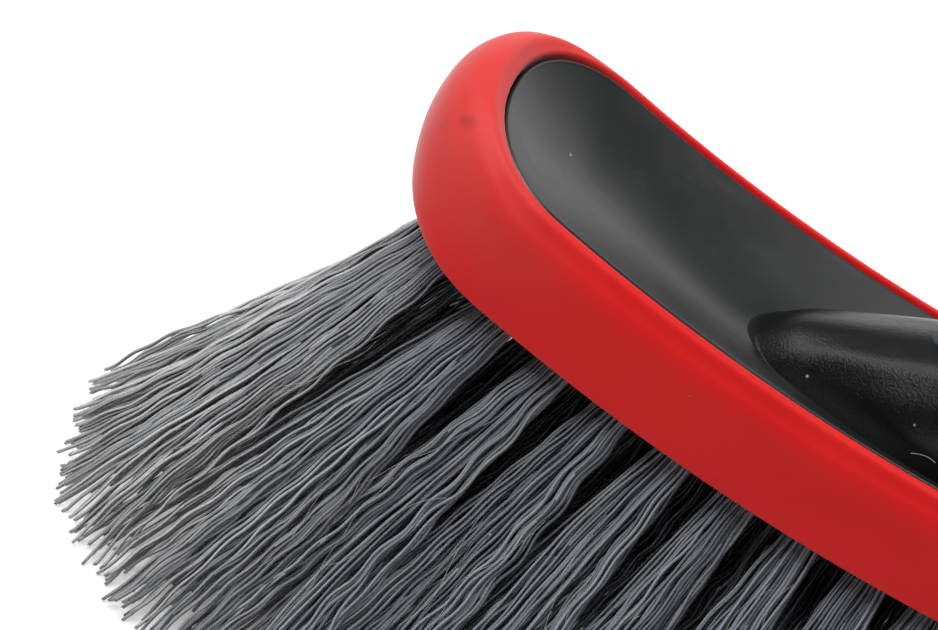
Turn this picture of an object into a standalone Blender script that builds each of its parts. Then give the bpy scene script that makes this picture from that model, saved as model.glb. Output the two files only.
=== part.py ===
# A hand brush: a boat shaped black head with a concave top, a soft red ring
# round it, a round handle that rises out of the head, and staggered rows of
# crimped bristle tufts set in blind holes.
# Lengths are in metres. X runs along the head towards the grip, Z is up, and
# the brush stands on its bristle tips.

from math import acos, atan2, cos, pi, radians, sin, sqrt
from random import Random

import bmesh
import bpy
from mathutils import Matrix, Vector

# Head, seen from above: straight sides, and a half oval at each end.
dish_length = 0.1816
dish_width = 0.0318
end_cap = 0.0143
cap_power = 2.18

# Head, seen from the side. It rises towards both ends on one arc.
arc_radius = 0.234
rim_height = 0.063
head_depth = 0.0132
dish_depth = 0.0055
dish_power = 2.3
rim_land = 0.0019
edge_break = 0.0005

# The rib round the head that keys the soft ring in place.
key_level = 0.0075
key_height = 0.0022
key_reach = 0.0012

# Soft ring round the head.
ring_side_reach = 0.0041
ring_end_reach = 0.0067
ring_drop = 0.0151
lip_rise = 0.0005
end_lift = 0.0014
lift_start = 0.070
lift_run = 0.020

# Clearance between pieces that touch.
seat_gap = 0.0003

# Handle. Its axis crosses the level of the rim behind the middle of the head.
handle_radius = 0.0125
handle_slope = radians(24.0)
axis_crossing = -0.0192
root_back = 0.046
root_floor = 0.0090
straight_run = 0.100
handle_reach = 0.275
handle_bend_radius = 0.62
tip_round = 0.0055

# Slot to hang the brush up by.
hang_slot_width = 0.0085
hang_slot_length = 0.0170
hang_slot_setback = 0.0190

# Soft grip let into the top of the handle.
grip_start = -0.0290
grip_to_slot = 0.0026
grip_width = 0.0150
grip_depth = 0.0016
grip_proud = 0.0003
grip_power = 2.6

# Bristle tufts.
hole_radius = 0.0023
hole_depth = 0.0055
middle_row_tufts = 18
side_row_tufts = 17
end_margin = 0.0143
side_margin = 0.0042
corner_margin = 0.0093
side_flare = radians(18.0)
corner_flare = radians(9.0)
end_fan = radians(12.0)
strands_in_tuft = 7
strand_radius = 0.00062
strand_wander = 0.0005
tip_spread_along = 0.0044
middle_spread_across = 0.0088
side_spread_across = 0.0070

# One overrun for every cutter.
overrun = 0.004

# Shares of the sizes above.
dish_ring_shares = (1.0, 0.97, 0.90, 0.79, 0.64, 0.46, 0.26)
corner_row_share = 0.55
join_share = 0.85
strand_stage_shares = (0.14, 0.55)
spread_power = 1.3

# Section of the soft ring from its inner lip, over the outside, to its inner
# foot: shares of the reach at the sides, of the reach at the ends, of the drop
# and of the lift at the ends. A negative drop share is below the rim.
ring_outline_shares = (
    (0.13, 0.08, 0.030, 0.38),
    (0.24, 0.20, 0.034, 0.93),
    (0.40, 0.45, 0.005, 0.99),
    (0.54, 0.68, -0.055, 0.89),
    (0.69, 0.86, -0.140, 0.72),
    (0.79, 0.965, -0.270, 0.46),
    (0.84, 0.94, -0.420, 0.16),
    (0.90, 0.81, -0.620, 0.0),
    (0.96, 0.60, -0.820, 0.0),
    (1.00, 0.42, -0.950, 0.0),
    (0.95, 0.30, -1.000, 0.0),
    (0.52, 0.19, -1.000, 0.0),
    (0.26, 0.10, -0.950, 0.0),
)

# Form of the handle: share of its length, half width and half height as
# shares of the radius.
handle_form_shares = (
    (0.00, 0.80, 0.875),
    (0.06, 0.80, 0.875),
    (0.13, 0.96, 1.02),
    (0.18, 1.00, 1.00),
    (0.32, 1.00, 1.00),
    (0.44, 0.99, 0.96),
    (0.56, 1.05, 0.96),
    (0.68, 1.12, 1.00),
    (0.80, 1.08, 0.92),
    (0.91, 0.98, 0.70),
    (1.00, 0.94, 0.56),
)

# Counts of faces.
side_steps = 9
end_steps = 6
handle_sides = 28
handle_stations = 26
round_steps = 5
hole_sides = 8
grip_side_steps = 16
grip_end_steps = 5
slot_arc_steps = 6

half_length = dish_length / 2
half_width = dish_width / 2


def empty_file():
    """Take every object that the new file holds out of it."""
    for old in list(bpy.data.objects):
        bpy.data.objects.remove(old, do_unlink=True)


def new_collection(name):
    """A collection linked to the scene."""
    group = bpy.data.collections.new(name)
    bpy.context.scene.collection.children.link(group)
    return group


def finish(name, colour, roughness):
    """A plain moulded material."""
    mat = bpy.data.materials.new(name)
    mat.use_nodes = True
    shader = mat.node_tree.nodes["Principled BSDF"]
    shader.inputs["Base Color"].default_value = (*colour, 1.0)
    shader.inputs["Roughness"].default_value = roughness
    shader.inputs["Metallic"].default_value = 0.0
    mat.diffuse_color = (*colour, 1.0)
    return mat


def add_object(name, points, faces, group, mat=None):
    """An object from points and faces, with its normals turned outwards."""
    mesh = bpy.data.meshes.new(name)
    mesh.from_pydata([tuple(p) for p in points], [], faces)
    work = bmesh.new()
    work.from_mesh(mesh)
    if work.calc_volume(signed=True) < 0:
        bmesh.ops.reverse_faces(work, faces=work.faces)
    work.to_mesh(mesh)
    work.free()
    mesh.shade_smooth()
    mesh.set_sharp_from_angle(angle=radians(40.0))
    if mat:
        mesh.materials.append(mat)
    item = bpy.data.objects.new(name, mesh)
    group.objects.link(item)
    return item


def combine(target, tool, operation):
    """Cut, join or intersect the target with the tool."""
    step = target.modifiers.new(tool.name, "BOOLEAN")
    step.operation = operation
    step.solver = "EXACT"
    step.object = tool


def make_cutter(item):
    """Show an object as a guide only."""
    item.hide_render = True
    item.display_type = "WIRE"


def bend(x, y, z):
    """Lay a point of the flat head on the arc. z counts from the rim."""
    reach = arc_radius - z
    angle = x / arc_radius
    return Vector((reach * sin(angle), y, rim_height + arc_radius - reach * cos(angle)))


def quarter_oval(power, straight_steps, round_off_steps):
    """Unit points of a square shouldered oval from mid side to the end."""
    points = []
    for k in range(straight_steps):
        share = join_share * k / straight_steps
        points.append((share, (1 - share**power) ** (1 / power)))
    turn = acos(join_share ** (power / 2))
    for k in range(round_off_steps + 1):
        angle = turn * (1 - k / round_off_steps)
        points.append((cos(angle) ** (2 / power), sin(angle) ** (2 / power)))
    return points


def whole_oval(power, straight_steps, round_off_steps):
    """Unit points all round the oval, from the +X end and back to it."""
    return all_round(quarter_oval(power, straight_steps, round_off_steps))


def all_round(quarter):
    """Points all round from a quarter that runs from mid side to the +X end."""
    far = quarter[::-1] + [(-x, y) for x, y in quarter[1:]]
    near = [(x, -y) for x, y in far[-2:0:-1]]
    return far + near


def ease(share):
    """A smooth step from 0 to 1."""
    share = min(max(share, 0.0), 1.0)
    return share * share * (3 - 2 * share)


def head_ring(side_out, end_out, z, lift=0.0):
    """A ring round the head, set out from the edge of the dish."""
    cap = end_cap + end_out if end_out > 0 else end_cap * (1 + side_out / half_width)
    straight = half_length + end_out - cap
    wide = half_width + side_out
    quarter = [(straight * k / side_steps, wide) for k in range(side_steps)]
    for k in range(end_steps + 1):
        angle = pi / 2 * k / end_steps
        x = straight + cap * sin(angle) ** (2 / cap_power)
        y = wide * cos(angle) ** (2 / cap_power) if k < end_steps else 0.0
        quarter.append((x, y))
    return [
        bend(x, y, z + lift * ease((abs(x) - lift_start) / lift_run))
        for x, y in all_round(quarter)
    ]


def strip_faces(start, count, flip):
    """Close an oval ring with strips that run straight across it."""
    half = count // 2
    faces = []
    for k in range(half):
        near_a = (count - k) % count
        near_b = count - k - 1
        face = [start + k, start + k + 1, start + near_b, start + near_a]
        face = list(dict.fromkeys(face))
        faces.append(face[::-1] if flip else face)
    return faces


def bridge_faces(first, second, count):
    """Quads between two rings of the same count."""
    return [
        (
            first + k,
            first + (k + 1) % count,
            second + (k + 1) % count,
            second + k,
        )
        for k in range(count)
    ]


def stack_of_rings(rings):
    """Points and faces of a closed solid through oval rings."""
    count = len(rings[0])
    points = [p for ring in rings for p in ring]
    faces = strip_faces(0, count, True)
    for k in range(len(rings) - 1):
        faces += bridge_faces(k * count, (k + 1) * count, count)
    faces += strip_faces((len(rings) - 1) * count, count, False)
    return points, faces


def head_solid(group, mat):
    """The head: flat underside, keyed wall, rim land and concave dish."""
    rib_low = -key_level - key_height / 2
    rib_high = -key_level + key_height / 2
    levels = [
        (-edge_break, -head_depth),
        (0.0, -head_depth + edge_break),
        (0.0, rib_low),
        (key_reach, rib_low + edge_break),
        (key_reach, rib_high - edge_break),
        (0.0, rib_high),
        (0.0, -edge_break),
        (-edge_break, 0.0),
    ]
    rings = [head_ring(out, out, z) for out, z in levels]
    floor_half = half_width - rim_land
    for share in dish_ring_shares:
        out = -rim_land - floor_half * (1 - share)
        drop = dish_depth * (1 - share**dish_power)
        rings.append(head_ring(out, out, -drop))
    return add_object("brush_body", *stack_of_rings(rings), group, mat)


def soft_ring(group, mat):
    """The red ring, keyed over the rib and hanging a little below the head."""
    rib_low = -key_level - key_height / 2 - seat_gap
    rib_high = -key_level + key_height / 2 + seat_gap
    section = []
    for side, end, drop, lift in ring_outline_shares:
        z = drop * ring_drop + (lip_rise if drop > 0 else 0.0)
        section.append((side * ring_side_reach, end * ring_end_reach, z, lift * end_lift))
    groove = key_reach + seat_gap
    section += [
        (seat_gap, seat_gap, -head_depth, 0.0),
        (seat_gap, seat_gap, rib_low, 0.0),
        (groove, groove, rib_low + edge_break, 0.0),
        (groove, groove, rib_high - edge_break, 0.0),
        (seat_gap, seat_gap, rib_high, 0.0),
        (seat_gap, seat_gap, 0.0, 0.0),
    ]
    rings = [head_ring(*row) for row in section]
    count = len(rings[0])
    points = [p for ring in rings for p in ring]
    faces = []
    for k in range(len(rings)):
        follower = (k + 1) % len(rings)
        faces += bridge_faces(k * count, follower * count, count)
    return add_object("bumper", points, faces, group, mat)


def handle_axis(distance):
    """Place and slope of the handle's axis, from where it crosses the rim."""
    x = axis_crossing + min(distance, straight_run) * cos(handle_slope)
    z = rim_height + min(distance, straight_run) * sin(handle_slope)
    slope = handle_slope
    if distance > straight_run:
        turn = (distance - straight_run) / handle_bend_radius
        slope = handle_slope - turn
        x += handle_bend_radius * (sin(handle_slope) - sin(slope))
        z += handle_bend_radius * (cos(slope) - cos(handle_slope))
    return x, z, slope


def axis_height(x):
    """Height of the handle's axis above the floor at a place along X."""
    low, high = -root_back, handle_reach
    for _ in range(40):
        middle = (low + high) / 2
        if handle_axis(middle)[0] < x:
            low = middle
        else:
            high = middle
    return handle_axis(low)[1]


def smooth_table(table, place):
    """Values of a table at a place, eased between its rows."""
    for low, high in zip(table, table[1:]):
        if place <= high[0]:
            share = (place - low[0]) / (high[0] - low[0])
            share = max(share, 0.0)
            share = share * share * (3 - 2 * share)
            return [a + (b - a) * share for a, b in zip(low[1:], high[1:])]
    return list(table[-1][1:])


def handle_skin(name, offset, group):
    """The handle as one closed loft, grown or shrunk by an offset."""
    whole = root_back + handle_reach
    stations = []
    straight_end = whole - tip_round
    for k in range(handle_stations):
        stations.append((straight_end * k / (handle_stations - 1), 0.0))
    for k in range(1, round_steps):
        angle = pi / 2 * k / round_steps
        stations.append((straight_end + tip_round * sin(angle), tip_round * (1 - cos(angle))))
    points = []
    for along, shrink in stations:
        x, z, slope = handle_axis(along - root_back)
        wide, tall = smooth_table(handle_form_shares, along / whole)
        a = wide * handle_radius + offset - shrink
        b = tall * handle_radius + offset - shrink
        for j in range(handle_sides):
            turn = 2 * pi * j / handle_sides
            up = b * sin(turn)
            points.append(Vector((x - up * sin(slope), a * cos(turn), z + up * cos(slope))))
    faces = [tuple(range(handle_sides))[::-1]]
    for k in range(len(stations) - 1):
        faces += bridge_faces(k * handle_sides, (k + 1) * handle_sides, handle_sides)
    last = (len(stations) - 1) * handle_sides
    faces.append(tuple(range(last, last + handle_sides)))
    return add_object(name, points, faces, group)


def root_trim(group):
    """Room below the dish that keeps the handle's root inside the head."""
    start = axis_crossing - root_back - handle_radius
    end = axis_crossing + root_back
    top, low = -root_floor, -root_floor - root_back
    points = []
    for k in range(side_steps + 1):
        x = start + (end - start) * k / side_steps
        for y, z in ((-half_width, low), (half_width, low), (half_width, top), (-half_width, top)):
            points.append(bend(x, y, z))
    faces = [(3, 2, 1, 0)]
    for k in range(side_steps):
        faces += bridge_faces(4 * k, 4 * (k + 1), 4)
    faces.append(tuple(4 * side_steps + j for j in range(4)))
    return add_object("root_trim", points, faces, group)


def grip_outline_solid(name, margin, group):
    """A tall solid over the grip's outline, whose base follows the axis."""
    slot_start = handle_reach - hang_slot_setback - hang_slot_length / 2
    grip_end, _, _ = handle_axis(slot_start - grip_to_slot)
    middle = (grip_start + grip_end) / 2
    long_half = (grip_end - grip_start) / 2 - margin
    wide_half = grip_width / 2 - margin
    oval = whole_oval(grip_power, grip_side_steps, grip_end_steps)
    low, high = [], []
    for x, y in oval:
        place = middle + long_half * x
        level = axis_height(place)
        low.append(Vector((place, wide_half * y, level)))
        high.append(Vector((place, wide_half * y, level + 2 * handle_radius)))
    return add_object(name, *stack_of_rings([low, high]), group)


def slot_cutter(group):
    """The hanging slot, square to the handle near its end."""
    straight = (hang_slot_length - hang_slot_width) / 2
    radius = hang_slot_width / 2
    outline = []
    for side in (1, -1):
        for k in range(slot_arc_steps + 1):
            angle = pi * k / slot_arc_steps - pi / 2
            outline.append((side * (straight + radius * cos(angle)), side * radius * sin(angle)))
    height = handle_radius + overrun
    count = len(outline)
    points = [Vector((x, y, -height)) for x, y in outline]
    points += [Vector((x, y, height)) for x, y in outline]
    faces = [tuple(range(count))[::-1], tuple(range(count, 2 * count))]
    faces += bridge_faces(0, count, count)
    item = add_object("hang_slot", points, faces, group)
    x, z, slope = handle_axis(handle_reach - hang_slot_setback)
    item.location = (x, 0.0, z)
    item.rotation_euler = (0.0, -slope, 0.0)
    return item


def tuft_places():
    """Name, flat place, fan and flare of every tuft."""
    field_half = half_length - end_margin
    pitch = 2 * field_half / (middle_row_tufts - 1)
    row = half_width - side_margin
    corner_x = half_length - corner_margin
    places = []
    for k in range(middle_row_tufts):
        places.append((f"tuft_middle_{k + 1:02d}", pitch * k - field_half, 0.0, 0.0))
    for side, word in ((-1, "near"), (1, "far")):
        for k in range(side_row_tufts):
            x = pitch * (k - (side_row_tufts - 1) / 2)
            places.append((f"tuft_{word}_{k + 1:02d}", x, side * row, side * side_flare))
        for end, label in ((-1, "front"), (1, "grip")):
            y = side * corner_row_share * row
            name = f"tuft_{label}_{word}"
            places.append((name, end * corner_x, y, side * corner_flare))
    return [(name, x, y, end_fan * x / corner_x, flare) for name, x, y, flare in places]


def tuft_axis(x, y, fan, flare):
    """Mouth of a tuft's hole, and the way its bristles leave."""
    mouth = bend(x, y, -head_depth)
    lean = x / arc_radius + fan
    way = Vector((sin(lean) * cos(flare), sin(flare), -cos(lean) * cos(flare)))
    return mouth, way


def tuft_cross(way):
    """Two directions square to a tuft: along the head and across it."""
    along = Vector((1, 0, 0)) - way * way.x
    along.normalize()
    return along, along.cross(way)


def polygon(centre, along, across, radius, sides):
    """Corners of a regular polygon."""
    return [
        centre + radius * (along * cos(2 * pi * k / sides) + across * sin(2 * pi * k / sides))
        for k in range(sides)
    ]


def hole_cutters(group):
    """All the blind tuft holes as one set of separate prisms."""
    radius = hole_radius / cos(pi / hole_sides)
    points, faces = [], []
    for _, x, y, fan, flare in tuft_places():
        mouth, way = tuft_axis(x, y, fan, flare)
        along, across = tuft_cross(way)
        start = len(points)
        points += polygon(mouth - way * hole_depth, along, across, radius, hole_sides)
        points += polygon(mouth + way * overrun, along, across, radius, hole_sides)
        faces.append(tuple(range(start, start + hole_sides))[::-1])
        faces.append(tuple(range(start + hole_sides, start + 2 * hole_sides)))
        faces += bridge_faces(start, start + hole_sides, hole_sides)
    return add_object("tuft_holes", points, faces, group)


def tuft(name, x, y, fan, flare, dice, group, mat):
    """One tuft: its root in the hole, and strands cut flat at the floor."""
    mouth, way = tuft_axis(x, y, fan, flare)
    along, across = tuft_cross(way)
    count = strands_in_tuft
    root_radius = hole_radius - seat_gap
    top = mouth - way * (hole_depth - seat_gap)
    length = mouth.z / -way.z
    spread_across = middle_spread_across if y == 0 else side_spread_across
    points = polygon(top, along, across, root_radius, count)
    points += polygon(mouth, along, across, root_radius, count)
    points.append(mouth)
    hub = 2 * count
    faces = [tuple(range(count))[::-1]] + bridge_faces(0, count, count)
    lowest = mouth + way * length
    for k in range(count):
        turn = 2 * pi * (k + 0.5) / count
        outward = along * cos(turn) + across * sin(turn)
        sideways = across * cos(turn) - along * sin(turn)
        tip = lowest + Vector((
            tip_spread_along * cos(turn) + dice.uniform(-1, 1) * strand_wander,
            spread_across * sin(turn) + dice.uniform(-1, 1) * strand_wander,
            0.0,
        ))
        previous = [hub, count + k, count + (k + 1) % count]
        for share in strand_stage_shares:
            drift = outward * (root_radius * (1 - share) * 2 / 3) + (tip - lowest) * share**spread_power
            centre = mouth + way * (length * share) + drift
            corners = strand_corners(centre, outward, sideways, strand_radius)
            previous = grow_strand(points, faces, previous, corners)
        flat_out = Vector((outward.x, outward.y, 0.0)).normalized()
        flat_side = Vector((-flat_out.y, flat_out.x, 0.0))
        corners = strand_corners(tip, flat_out, flat_side, strand_radius)
        for corner in corners:
            corner.z = 0.0
        previous = grow_strand(points, faces, previous, corners)
        faces.append(tuple(previous))
    return add_object(name, points, faces, group, mat)


def strand_corners(centre, outward, sideways, radius):
    """Three corners of a strand, one of them towards the tuft's middle."""
    reach = radius * sqrt(3) / 2
    return [
        centre - outward * radius,
        centre + outward * radius / 2 - sideways * reach,
        centre + outward * radius / 2 + sideways * reach,
    ]


def grow_strand(points, faces, previous, corners):
    """Add one length of a strand and give back its new end."""
    start = len(points)
    points += corners
    ahead = [start, start + 1, start + 2]
    for j in range(3):
        faces.append((previous[j], previous[(j + 1) % 3], ahead[(j + 1) % 3], ahead[j]))
    return ahead


def middle_of_length(tufts):
    """Place along X halfway between the furthest tips and the grip's end."""
    tips = min(corner.co.x for item in tufts for corner in item.data.vertices)
    end, _, _ = handle_axis(handle_reach)
    return (tips + end) / 2


def build():
    """Model the whole brush."""
    empty_file()
    brush = new_collection("hand_brush")
    cutters = new_collection("cutters")
    black = finish("black_polypropylene", (0.030, 0.031, 0.033), 0.42)
    red = finish("red_soft_rubber", (0.420, 0.013, 0.014), 0.50)
    grey = finish("dark_soft_rubber", (0.045, 0.048, 0.055), 0.65)
    bristle = finish("grey_bristle", (0.190, 0.200, 0.215), 0.38)

    body = head_solid(brush, black)
    bumper = soft_ring(brush, red)

    root = handle_skin("handle_stock", 0.0, cutters)
    combine(root, root_trim(cutters), "DIFFERENCE")
    combine(body, root, "UNION")
    combine(body, hole_cutters(cutters), "DIFFERENCE")
    combine(body, slot_cutter(cutters), "DIFFERENCE")

    pocket = grip_outline_solid("grip_pocket", 0.0, cutters)
    combine(pocket, handle_skin("pocket_floor", -grip_depth, cutters), "DIFFERENCE")
    combine(body, pocket, "DIFFERENCE")

    grip = grip_outline_solid("grip_inlay", seat_gap, brush)
    grip.data.materials.append(grey)
    combine(grip, handle_skin("grip_top", grip_proud, cutters), "INTERSECT")
    combine(grip, handle_skin("grip_floor", seat_gap - grip_depth, cutters), "DIFFERENCE")

    dice = Random(7)
    tufts = [tuft(*place, dice, brush, bristle) for place in tuft_places()]

    datum = bpy.data.objects.new("brush_datum", None)
    bpy.context.scene.collection.objects.link(datum)
    datum.location.x = -middle_of_length(tufts)
    for item in list(brush.objects) + list(cutters.objects):
        item.parent = datum
    for item in cutters.objects:
        make_cutter(item)


build()
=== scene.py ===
from math import cos, pi, radians, sin

import bpy
import numpy as np
from mathutils import Matrix, Vector
from mathutils.geometry import delaunay_2d_cdt


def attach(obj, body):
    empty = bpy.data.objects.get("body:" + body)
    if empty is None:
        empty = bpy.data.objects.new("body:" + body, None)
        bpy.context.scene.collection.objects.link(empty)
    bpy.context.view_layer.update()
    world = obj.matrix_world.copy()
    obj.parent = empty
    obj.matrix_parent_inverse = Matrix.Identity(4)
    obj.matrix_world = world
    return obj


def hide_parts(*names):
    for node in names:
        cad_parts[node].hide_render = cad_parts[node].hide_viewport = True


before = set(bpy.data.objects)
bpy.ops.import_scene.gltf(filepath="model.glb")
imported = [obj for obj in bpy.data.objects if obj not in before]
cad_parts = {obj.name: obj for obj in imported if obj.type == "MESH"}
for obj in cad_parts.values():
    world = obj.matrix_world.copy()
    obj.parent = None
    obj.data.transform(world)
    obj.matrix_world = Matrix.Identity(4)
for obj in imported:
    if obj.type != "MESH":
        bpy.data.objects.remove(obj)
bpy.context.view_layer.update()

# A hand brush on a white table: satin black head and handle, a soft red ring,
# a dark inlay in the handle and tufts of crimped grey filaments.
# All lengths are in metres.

# Head, as in the solid.
DATUM = -0.0552867
HALF_LENGTH = 0.0908
HALF_WIDTH = 0.0159
END_CAP = 0.0143
CAP_POWER = 2.18
ARC = 0.234
RIM = 0.063
HEAD_DEPTH = 0.0132
EDGE = 0.0005
DISH_DEPTH = 0.0058
DISH_POWER = 1.9
DISH_RISE = 0.0006
DISH_FADE = 0.42
FADE_START = 0.050
FADE_RUN = 0.034
LAND = 0.0006
FLOOR_HALF = HALF_WIDTH - LAND
HOLE_DEPTH = 0.005
UNDER_PITCH = 0.004
UNDER_ROWS = (-0.0141, -0.0068, 0.0, 0.0068, 0.0141)

# Section of the head, from the underside over its wall to the edge of the
# dish: distance out, and height over the flat rim.
HEAD_SECTION = (
    (-EDGE, -HEAD_DEPTH),
    (-0.0001, -HEAD_DEPTH + 0.0001),
    (0.0, -HEAD_DEPTH + EDGE),
    (0.0, -0.006),
    (0.0, 0.0003),
    (-0.00007, 0.00052),
    (-0.0002, 0.00065),
    (-0.00036, 0.0007),
    (-0.0005, 0.00067),
)

# Ring.
SIDE_REACH = 0.0041
END_REACH = 0.0067
RING_DROP = 0.0151
LIP = 0.0005
END_LIFT = 0.0018
LIFT_START = 0.0800
LIFT_RUN = 0.0140
SEAM = 0.0003

# Handle.
RADIUS = 0.0125
SLOPE = radians(24.0)
CROSSING = -0.0192
ROOT_BACK = 0.046
STRAIGHT = 0.100
REACH = 0.275
BEND = 0.62
TIP_ROUND = 0.0055
RIDGE_START = -0.028
RIDGE_RUN = 0.016
RIDGE_TURN = radians(27.0)
RIDGE_CLOSED = radians(19.0)
RIDGE_WIDTH = radians(9.0)
RIDGE_RISE = 0.030
ROOT_END = 0.060
FILLET_LEAST = 0.00002
FILLET_NOSE = 0.0012
FILLET_TUCK = 0.00004
SLOT_WIDTH = 0.0085
SLOT_LENGTH = 0.0170
SLOT_SETBACK = 0.0190
SLOT_LIP = 0.0011
SLOT_OVERRUN = 0.004

# Inlay.
GRIP_START = -0.0266
GRIP_TO_SLOT = 0.0026
GRIP_WIDTH = 0.0150
GRIP_POWER = 2.6
GRIP_CROWN = 0.00034
GRIP_TUCK = 0.0011
TUCK_RUN = 0.00035

# Tufts.
HOLE = 0.0023
HOLE_SIDES = 20
MIDDLE_TUFTS = 18
SIDE_TUFTS = 17
END_MARGIN = 0.0143
SIDE_MARGIN = 0.0042
CORNER_MARGIN = 0.0093
CORNER_ROW = 0.55
SIDE_FLARE = radians(18.0)
CORNER_FLARE = radians(9.0)
END_FAN = radians(12.0)

# A tuft further across than SIDE_ROW stands in a side row, and one further
# along than these from the middle of the head stands beside or at its end.
SIDE_ROW = 0.010
BESIDE_END = 0.0700
AT_END = 0.0780

# Filaments.
FILAMENTS = 78
FILAMENT_RADIUS = 0.00031
FILAMENT_STEP = 0.00098
ROOT_DEPTH = 0.003
CRIMP_LENGTH = 0.0090
CRIMP_HEIGHT = 0.00020
CRIMP_START = 0.002
CRIMP_RUN = 0.014
SWAY = 0.0005

# Locks that the filaments of a tuft are drawn into: shares of the spread that
# a filament's own place and its lock's place give, and those that go astray.
LOCKS = 7
OWN_SHARE = 0.70
LOCK_SHARE = 0.42
SCATTER = 0.06
STRAYS = 0.07
STRAY_SCATTER = 0.35

# Spread of the tips, and the rounded outline that they all stand on.
SPREAD_ALONG = 0.0090
SPREAD_ACROSS = 0.0105
SIDE_SPREAD = 0.92
SIDE_TO_MIDDLE = 0.0032
SIDE_OUT = 0.09
FOOT_HALF = 0.1280
FOOT_END = 0.0360
FOOT_WIDE = 0.0415
FOOT_SOFT = 0.72
RAGGED = 0.012
RISE = 0.0013
MOST_RISE = 0.006

# How a tuft opens: its fan, the sideways shift of its foot, and the powers of
# its opening and of its drawing over along the length.
HABITS = {
    "end": (1.6, -0.0040, 0.85, 1.0),
    "held_back": (1.1, -0.0225, 0.85, 1.0),
    "beside_end": (1.5, 0.0, 0.95, 1.4),
    "near": (1.0, 0.0, 0.95, 1.4),
    "hidden": (1.0, 0.0, 1.9, 1.4),
}
HELD_BACK = 0.0050

# Dust hairs and a fibre.
HAIRS = 3
HAIR_STEPS = 70
HAIR_RADIUS = 0.000045
FIBRE_RADIUS = 0.000035

# Marks of use: places and reach.
RING_SMUDGES = (((-0.1490, -0.0104, 0.0779), 0.0016), ((-0.1461, -0.0115, 0.0807), 0.0017),
                ((-0.1472, -0.0109, 0.0803), 0.0012), ((-0.1514, -0.0056, 0.0772), 0.0011))
HANDLE_DUST = (((-0.0938, -0.0071, 0.0646), 0.00030), ((-0.0791, -0.0104, 0.0677), 0.00022))
FIBRE = ((-0.0779, -0.0117, 0.0644), (-0.0769, -0.0119, 0.0650),
         (-0.0758, -0.0119, 0.0652), (-0.0746, -0.0120, 0.0650))

# Section of the ring, from the lip over the outside to the foot: shares of
# the side reach, of the end reach, of the drop and of the lift at the ends.
RING_SECTION = (
    (0.13, 0.08, 0.030, 0.12),
    (0.24, 0.20, 0.034, 0.30),
    (0.40, 0.45, 0.005, 0.74),
    (0.54, 0.68, -0.055, 0.98),
    (0.69, 0.86, -0.140, 0.84),
    (0.79, 0.965, -0.270, 0.50),
    (0.84, 0.94, -0.420, 0.16),
    (0.90, 0.81, -0.620, 0.0),
    (0.96, 0.60, -0.820, 0.0),
    (1.00, 0.42, -0.950, 0.0),
    (0.95, 0.30, -1.000, 0.0),
    (0.52, 0.19, -1.000, 0.0),
    (0.26, 0.10, -0.950, 0.0),
)

# Handle: share of its length, half width and half height in radii.
HANDLE_FORM = np.array((
    (0.00, 0.76, 0.77),
    (0.045, 0.76, 0.77),
    (0.085, 0.81, 1.04),
    (0.13, 0.95, 1.01),
    (0.18, 1.00, 1.00),
    (0.32, 1.00, 1.00),
    (0.44, 0.99, 0.96),
    (0.56, 1.05, 0.96),
    (0.68, 1.12, 1.00),
    (0.80, 1.08, 0.92),
    (0.91, 0.98, 0.70),
    (1.00, 0.94, 0.56),
))

# Counts of points and rows, and of halvings in a search.
SIDE_STEPS = 40
CAP_STEPS = 30
DISH_ROWS = 39
HANDLE_SIDES = 120
FILLET_ROWS = 11
ROOT_ROWS = 70
SHAFT_ROWS = 170
TIP_ROWS = 13
SLOT_STEPS = 17
LIP_STEPS = 7
INLAY_ROWS = 181
INLAY_SIDES = 37
TUBE_SIDES = 3
HALVINGS = 44
DISH_HALVINGS = 40

# Camera and lamps: place, aim, size and power.
CAMERA_PLACE = (-0.110135, -0.364275, 0.343273)
CAMERA_TURN = radians(-4.265)
CAMERA_DIP = radians(39.41)
CAMERA_ROLL = radians(23.463)
CAMERA_LENS = 135.23
CAMERA_SENSOR = 36.0
LAMPS = {
    "window": ((-0.75, 0.08, 0.80), (-0.09, 0.0, 0.06), (0.40, 0.35), 2.3),
    "front": ((-0.26, -0.41, 1.00), (-0.10, 0.0, 0.05), (0.56, 0.46), 8.8),
    "overhead": ((-0.09, 0.05, 1.15), (-0.09, 0.0, 0.06), (0.26, 0.12), 2.7),
}
TABLE_HALF = 1.6


# ---- finishes

class Flow:
    """The output of a node, which can stand in a sum."""

    def __init__(self, paint, socket):
        self.paint = paint
        self.socket = socket

    def sum(self, operation, first, second=0.0, clamp=False):
        settings = {"operation": operation, "use_clamp": clamp}
        return self.paint.add("ShaderNodeMath", settings, {0: first, 1: second})

    def __add__(self, other):
        return self.sum("ADD", self, other)

    __radd__ = __add__

    def __sub__(self, other):
        return self.sum("SUBTRACT", self, other)

    def __rsub__(self, other):
        return self.sum("SUBTRACT", other, self)

    def __mul__(self, other):
        return self.sum("MULTIPLY", self, other)

    __rmul__ = __mul__

    def __pow__(self, other):
        return self.sum("POWER", self, other)

    def __abs__(self):
        return self.sum("ABSOLUTE", self)

    def clamp(self):
        return self.sum("ADD", self, 0.0, True)

    def most(self, other):
        return self.sum("MAXIMUM", self, other)

    def ease(self, low, high, start=0.0, end=1.0):
        """Go smoothly from start to end while the value goes from low to high."""
        settings = {"interpolation_type": "SMOOTHSTEP"}
        span = {"Value": self, "From Min": low, "From Max": high, "To Min": start, "To Max": end}
        return self.paint.add("ShaderNodeMapRange", settings, span)


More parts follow.
